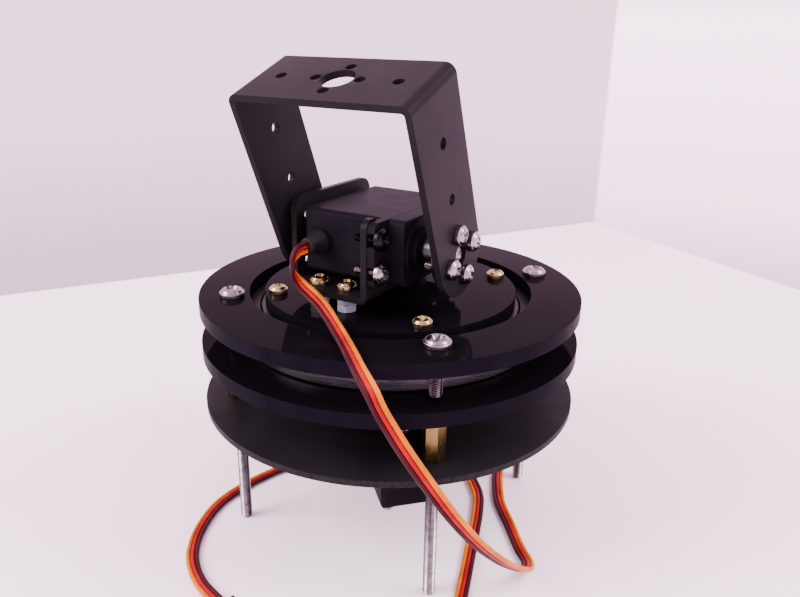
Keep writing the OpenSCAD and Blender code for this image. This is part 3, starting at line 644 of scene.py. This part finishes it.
def smooth_line(points, steps):
    """A Catmull-Rom curve through the points."""
    out = []
    last = len(points) - 1
    for k in range(last):
        a, b, c, d = (Vector(points[max(0, min(last, k + j))]) for j in (-1, 0, 1, 2))
        for i in range(steps):
            u = i / steps
            out.append(0.5 * (2 * b + (c - a) * u + (2 * a - 5 * b + 4 * c - d) * u * u
                              + (3 * b - a - 3 * c + d) * u ** 3))
    out.append(Vector(points[-1]))
    return out


def ribbon(name, route, node):
    """Three insulated wires moulded side by side, following a route."""
    pitch, radius, sides = 1.4, 0.72, 12
    line = smooth_line([p for p, _ in route], 6)
    across = smooth_line([a for _, a in route], 6)
    bm = bmesh.new()
    for wire, offset in enumerate((-pitch, 0, pitch)):
        rows = []
        for k, centre in enumerate(line):
            ahead = (line[min(k + 1, len(line) - 1)] - line[max(k - 1, 0)]).normalized()
            side = across[k] - ahead * across[k].dot(ahead)
            side.normalize()
            over = ahead.cross(side)
            ring = []
            for j in range(sides):
                a = 2 * math.pi * j / sides
                p = centre + side * (offset + radius * math.cos(a)) + over * radius * math.sin(a)
                ring.append(bm.verts.new(p * mm))
            rows.append(ring)
        for a, b in zip(rows, rows[1:]):
            for j in range(sides):
                f = bm.faces.new((a[j], a[(j + 1) % sides], b[(j + 1) % sides], b[j]))
                f.material_index = wire
        for ring in (rows[0], rows[-1]):
            f = bm.faces.new(ring)
            f.material_index = wire
    bmesh.ops.recalc_face_normals(bm, faces=bm.faces)
    mesh = bpy.data.meshes.new(name)
    bm.to_mesh(mesh)
    bm.free()
    obj = make_object(name, finish_mesh(mesh, 60), [BROWN, RED, ORANGE])
    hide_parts(node)
    return obj


tilt_plug = dressed("tilt_plug", PLUG, 0.3, 30)
pan_plug = dressed("pan_plug", PLUG, 0.3, 30)
tilt_lead = ribbon("tilt_lead_ribbon", TILT_ROUTE, "tilt_lead")
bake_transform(tilt_lead)
pan_lead = ribbon("pan_lead_ribbon", PAN_ROUTE, "pan_lead")
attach(pan_lead, "base")


# ---------------------------------------------------------------- plates, brackets and servos

for plate in ("top_ring", "middle_ring", "turntable_disc", "hub_plate", "horn_spacer"):
    dressed(plate, ACRYLIC, 0.12, 60)
dressed("lower_plate", BOARD, 0.1, 60)
dressed("u_bracket", ANODISED, 0.22)
dressed("servo_bracket", ANODISED, 0.22)
for servo in ("pan_servo", "tilt_servo"):
    dressed(servo + "_case", PLASTIC, 0.22)
    dressed(servo + "_base_cap", PLASTIC, 0.22)
    dressed(servo + "_top_cap", PLASTIC, 0.22)
    dressed(servo + "_board", GREEN, 0.1)
    dressed(servo + "_motor", CAN, 0.3)
    dressed(servo + "_shaft", SHAFT, 0.2)
for servo, place, body in SERVOS:
    boot = boot_mesh()
    boot.transform(place @ move(BOOT_X, 0, BOOT_Z) @ turn("Y", -90))
    piece(servo + "_boot_piece", boot, RUBBER, body, servo + "_boot")
dressed("pan_horn", HORN, 0.25)
dressed("tilt_horn", HORN, 0.25)
dressed("bearing_outer_race", RACE, 0.7, 60, 4)
dressed("bearing_inner_race", RACE_INNER, 0.5, 60, 3)
dressed("bearing_seals", SEAL, 0.2, 60)
dressed("bearing_cage", BRASS, 0.1, 60)
nodes["bearing_balls"].data.materials.clear()
nodes["bearing_balls"].data.materials.append(RACE)
for bush in ("pivot_cup", "pivot_sleeve", "pivot_spacer"):
    dressed(bush, STEEL, 0.12)


# ---------------------------------------------------------------- screws and nuts

M3_HEAD = pan_head(6, 2.8)


def m3_screw(length, head=M3_HEAD):
    return joined("m3_screw", [head, threaded_shank(M3_D, M3_PITCH, length)])


def spun(places, seed):
    """Each screw stops at its own angle."""
    return [p @ turn("Z", (seed * 47 + k * 67) % 90) for k, p in enumerate(places)]


def screws(name, mesh, places, material, body, node, seed):
    piece(name, copies(mesh, spun(places, seed), name), material, body, node)


def nuts(name, mesh, places, material, body, node):
    piece(name, copies(mesh, places, name), material, body, node)


M3_8 = m3_screw(8)
M3_10 = m3_screw(10)
LEG_SCREW = joined("leg", [pan_head(8, 3.1), threaded_shank(M4_D, M4_PITCH, RING_TOP)])
EAR_SCREW = m3_screw(8, pan_head(6.6, 2.7))
CASE_SCREW = joined("case_screw", [pan_head(4.2, 1.6), threaded_shank(M2_D, M2_PITCH, 32, start=26)])

screws("leg_screws_m4", LEG_SCREW, [c @ move(LEG_R, 0, RING_TOP) for c in CORNERS],
       STUD, "base", "leg_screws", 2)
screws("disc_screws_m3", m3_screw(25), [c @ move(DISC_SCREW_R, 0, RING_TOP) for c in CORNERS],
       ZINC, "turntable", "disc_screws", 3)
screws("bracket_screws_m3", m3_screw(16), [move(x, y, BRACKET_TOP) for x, y in BRACKET_PLACES],
       ZINC, "turntable", "bracket_screws", 5)
screws("pan_mount_screws_m3", M3_10, [PAN_SERVO @ move(x, y, LOWER_TOP - PAN_Z) for x, y in EAR_PLACES],
       STEEL, "base", "pan_mount_screws", 4)
screws("pan_horn_screws_m3", M3_10,
       [PAN_SERVO @ move(0, 0, HORN_FACE + SPACER_T + PLATE_T) @ h for h in HORN_PLACES],
       STEEL, "turntable", "pan_horn_screws", 6)
screws("pan_horn_centre_screw_m3", M3_8, [PAN_SERVO @ move(0, 0, HORN_FACE)],
       STEEL, "turntable", "pan_horn_centre_screw", 7)
ear_tops = [TILT_SERVO @ move(x, y, EAR_TOP) for x, y in EAR_PLACES]
screws("ear_screws_bright", EAR_SCREW, [ear_tops[0]] + ear_tops[2:], STEEL, "turntable", "ear_screws", 8)
# One of the four ear screws is drawn near black, the other three plain steel
screws("ear_screw_black", EAR_SCREW, [ear_tops[1]], DARK_SCREW_METAL, "turntable", "ear_screws", 9)
screws("tilt_horn_screws_m3", M3_8, [TILT_HORN @ move(0, 0, HORN_FACE + U_T) @ h for h in HORN_PLACES],
       STEEL, "tilt_frame", "tilt_horn_screws", 9)
screws("tilt_horn_centre_screw_m3", m3_screw(8, pan_head(6, 1.8)), [TILT_HORN @ move(0, 0, HORN_FACE)],
       STEEL, "tilt_frame", "tilt_horn_centre_screw", 10)
for servo, place, body in SERVOS:
    screws(servo + "_case_screws_m2", CASE_SCREW,
           [place @ move(x, y, 0) @ turn("X", 180) for x, y in CASE_PLACES],
           STEEL, body, servo + "_case_screws", 11)
screws("pivot_screw_m3", m3_screw(10, pan_head(5.4, 1.4)), [PIVOT @ move(0, 0, WALL_X)],
       STEEL, "tilt_frame", "pivot_screw", 12)

M3_NUT = nut_mesh(af=5.5, h=M3_NUT_H, bore=3)
M4_NUT = nut_mesh(af=7, h=M4_NUT_H, bore=M4_D)
STANDOFF = nut_mesh(af=6, h=STANDOFF_H, bore=M4_D)
HEX = turn("Z", 30)
nuts("leg_nuts_m4", M4_NUT, [c @ move(LEG_R, 0, LOWER_BOTTOM - M4_NUT_H) @ HEX for c in CORNERS],
     NUT, "base", "leg_nuts")
nuts("leg_standoffs_hex", STANDOFF, [c @ move(LEG_R, 0, LOWER_TOP) @ HEX for c in CORNERS],
     BRASS, "base", "leg_standoffs")
nuts("pan_mount_nuts_m3", M3_NUT, [PAN_SERVO @ move(x, y, EAR_Z - M3_NUT_H) for x, y in EAR_PLACES],
     NUT, "base", "pan_mount_nuts")
nuts("disc_nuts_m3", M3_NUT, [c @ move(DISC_SCREW_R, 0, MIDDLE_BOTTOM - M3_NUT_H) for c in CORNERS],
     NUT, "turntable", "disc_nuts")
nuts("bracket_spacer_nuts_m3", M3_NUT,
     [move(x, y, RING_TOP + M3_NUT_H * k) @ HEX for x, y in BRACKET_PLACES for k in (0, 1)],
     NUT, "turntable", "bracket_spacer_nuts")
nuts("bracket_nuts_m3", M3_NUT, [move(x, y, RING_BOTTOM - M3_NUT_H) for x, y in BRACKET_PLACES],
     NUT, "turntable", "bracket_nuts")
nuts("pivot_nut_m3", M3_NUT, [PIVOT @ move(0, 0, U_LEFT - M3_NUT_H)],
     NUT, "tilt_frame", "pivot_nut")


# ---------------------------------------------------------------- table, light and air

def make_table():
    """A white table top, in metres: its far corner, its two far edges, and the rest well out of view."""
    corner = Vector((-0.058, 0.464, 0))
    left = corner + Vector((-0.5423, -0.8402, 0)) * 1.4
    right = corner + Vector((0.846, -0.533, 0)) * 1.6
    points = [corner, left, left + Vector((0.3, -1.2, 0)), right + Vector((0.3, -0.9, 0)), right]
    bm = bmesh.new()
    top = [bm.verts.new(p) for p in points]
    low = [bm.verts.new(p - Vector((0, 0, 0.03))) for p in points]
    bm.faces.new(top)
    for k in range(len(points)):
        j = (k + 1) % len(points)
        bm.faces.new((top[k], low[k], low[j], top[j]))
    bmesh.ops.recalc_face_normals(bm, faces=bm.faces)
    mesh = bpy.data.meshes.new("table")
    bm.to_mesh(mesh)
    bm.free()
    s = Shader("table_white", (0.92, 0.86, 0.90), 0.55, Specular_IOR_Level=0.3)
    s.base(s.ramp(s.noise(3, 4), [(0.3, (0.91, 0.84, 0.88)), (0.7, (0.96, 0.90, 0.93))]))
    s.rough(s.span(s.noise(30, 3), 0.45, 0.65))
    s.bump(s.noise(700, 3), 0.02, 0.3)
    make_object("table", mesh, [s.mat])


def area_light(name, place, target, size, power, colour):
    data = bpy.data.lights.new(name, "AREA")
    data.shape = "DISK"
    data.size = size
    data.energy = power
    data.color = colour
    light = bpy.data.objects.new(name, data)
    bpy.context.collection.objects.link(light)
    light.location = place
    light.rotation_euler = (Vector(target) - Vector(place)).to_track_quat("-Z", "Y").to_euler()


def make_air():
    """The room's light: pink air above, and two pale walls that meet behind the table's far corner."""
    world = bpy.data.worlds.new("air")
    bpy.context.scene.world = world
    world.use_nodes = True
    tree = world.node_tree
    coord = tree.nodes.new("ShaderNodeTexCoord")
    parts = tree.nodes.new("ShaderNodeSeparateXYZ")
    tree.links.new(coord.outputs["Generated"], parts.inputs["Vector"])
    height = tree.nodes.new("ShaderNodeMapRange")
    height.inputs["From Min"].default_value = -0.3
    height.inputs["From Max"].default_value = 0.3
    tree.links.new(parts.outputs["Z"], height.inputs["Value"])
    across = tree.nodes.new("ShaderNodeVectorMath")
    across.operation = "DOT_PRODUCT"
    across.inputs[1].default_value = (math.cos(WALL_CORNER), math.sin(WALL_CORNER), 0)
    tree.links.new(coord.outputs["Generated"], across.inputs[0])
    past_corner = colour_ramp(tree, across.outputs["Value"], [(0.0, 0.0), (0.004, 1.0)])
    # Stops run from 17 degrees below the horizon to 17 above; nothing but the table hides the walls
    above = [(0.68, (0.95, 0.62, 0.83)), (1.0, (1.0, 0.60, 0.82))]
    left_wall = [(0.05, (0.62, 0.39, 0.53)), (0.3, (0.97, 0.60, 0.83))]
    right_wall = [(0.03, (0.9, 0.53, 0.76)), (0.17, (1.45, 0.89, 1.25)), (0.52, (2.0, 1.3, 1.78))]
    mix = tree.nodes.new("ShaderNodeMixRGB")
    tree.links.new(past_corner, mix.inputs["Fac"])
    for stops, side in ((left_wall, "Color1"), (right_wall, "Color2")):
        tree.links.new(colour_ramp(tree, height.outputs["Result"], stops + above), mix.inputs[side])
    background = tree.nodes["Background"]
    tree.links.new(mix.outputs["Color"], background.inputs["Color"])
    background.inputs["Strength"].default_value = 2.9


make_table()
make_air()
area_light("window", (0.9, 0.35, 0.9), (0, 0, 0.08), 0.7, 20, (1.0, 0.98, 0.98))
area_light("fill", (-0.8, -0.9, 0.9), (0, 0, 0.08), 0.9, 40, (1.0, 0.99, 1.0))
